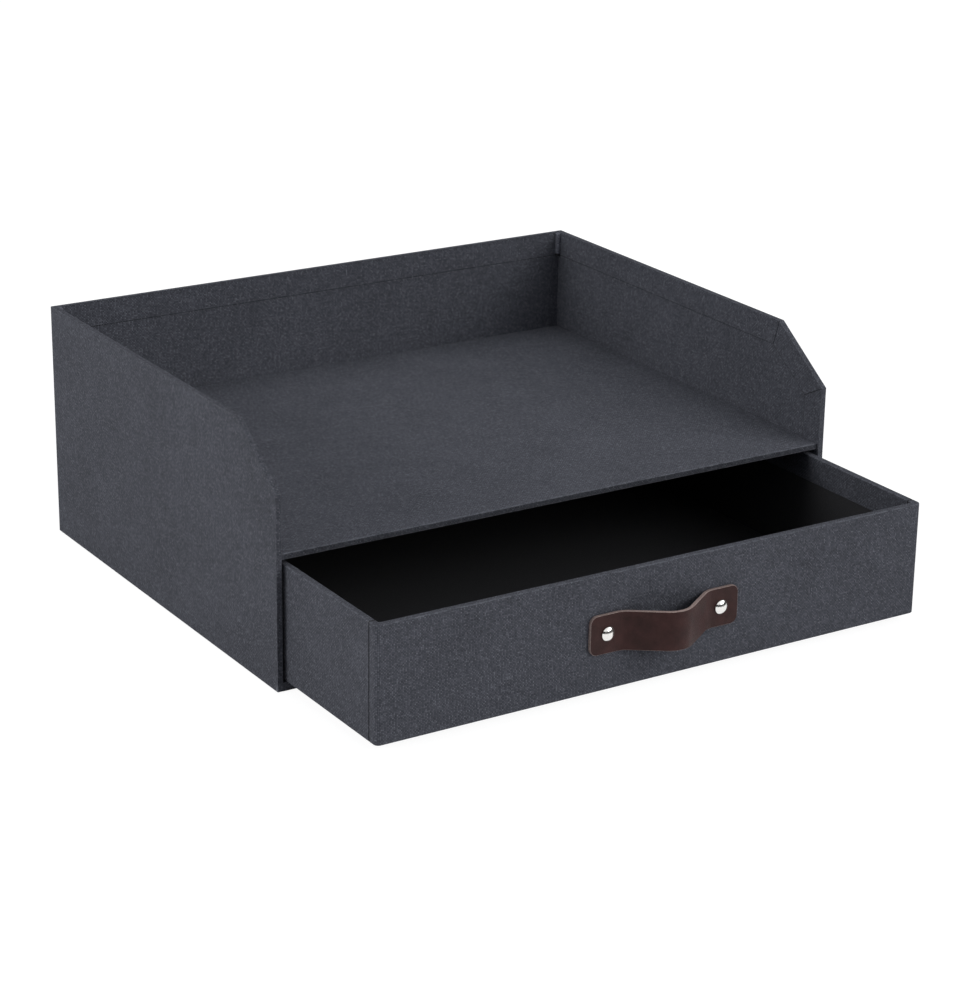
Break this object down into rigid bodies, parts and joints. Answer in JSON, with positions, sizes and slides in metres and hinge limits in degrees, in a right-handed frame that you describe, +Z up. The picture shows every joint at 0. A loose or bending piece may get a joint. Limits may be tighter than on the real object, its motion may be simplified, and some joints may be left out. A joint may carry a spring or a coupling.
{
  "type": "letter tray with drawer",
  "caption": "Cloth-covered board letter tray with a raised back and sloped side walls, over a sliding drawer that has a riveted leather strap handle.",
  "frame": {"origin": "middle of the housing's underside, which stands on the desk", "axes": "+Z up, +Y to the back (the drawer opens towards -Y), +X to the right as seen from the front"},
  "size_m": [0.325, 0.354, 0.127],
  "materials": {
    "grey_board": "raw grey board",
    "slate_cloth": "slate canvas cloth, matt",
    "tray_lining": "slate canvas cloth, matt",
    "black_lining": "black lining paper, matt",
    "brown_leather": "dark brown leather with paler cut edges",
    "nickel": "bright nickel plate"
  },
  "bodies": {
    "housing": {"left_side_board": "grey_board", "right_side_board": "grey_board", "back_board": "grey_board", "base_board": "grey_board", "shelf_board": "grey_board", "left_wall_lining": "tray_lining", "right_wall_lining": "tray_lining", "back_wall_lining": "tray_lining", "bay_floor_lining": "black_lining", "shelf_underside_lining": "black_lining", "shelf_cover": "slate_cloth", "base_cover": "slate_cloth", "housing_wrap": "slate_cloth"},
    "drawer": {"drawer_front_board": "grey_board", "drawer_back_board": "grey_board", "drawer_left_board": "grey_board", "drawer_right_board": "grey_board", "drawer_floor_board": "grey_board", "drawer_wall_lining": "black_lining", "drawer_floor_lining": "black_lining", "drawer_base_cover": "slate_cloth", "drawer_front_cloth": "slate_cloth", "drawer_wrap": "slate_cloth", "handle_strap": "brown_leather", "handle_rivet_caps": "nickel", "handle_rivet_backs": "nickel"}
  },
  "joints": [
    {"name": "drawer_slide", "type": "slide", "parent": "housing", "child": "drawer", "axis": [0, -1, 0], "range_m": [-0.085, 0.1]}
  ]
}
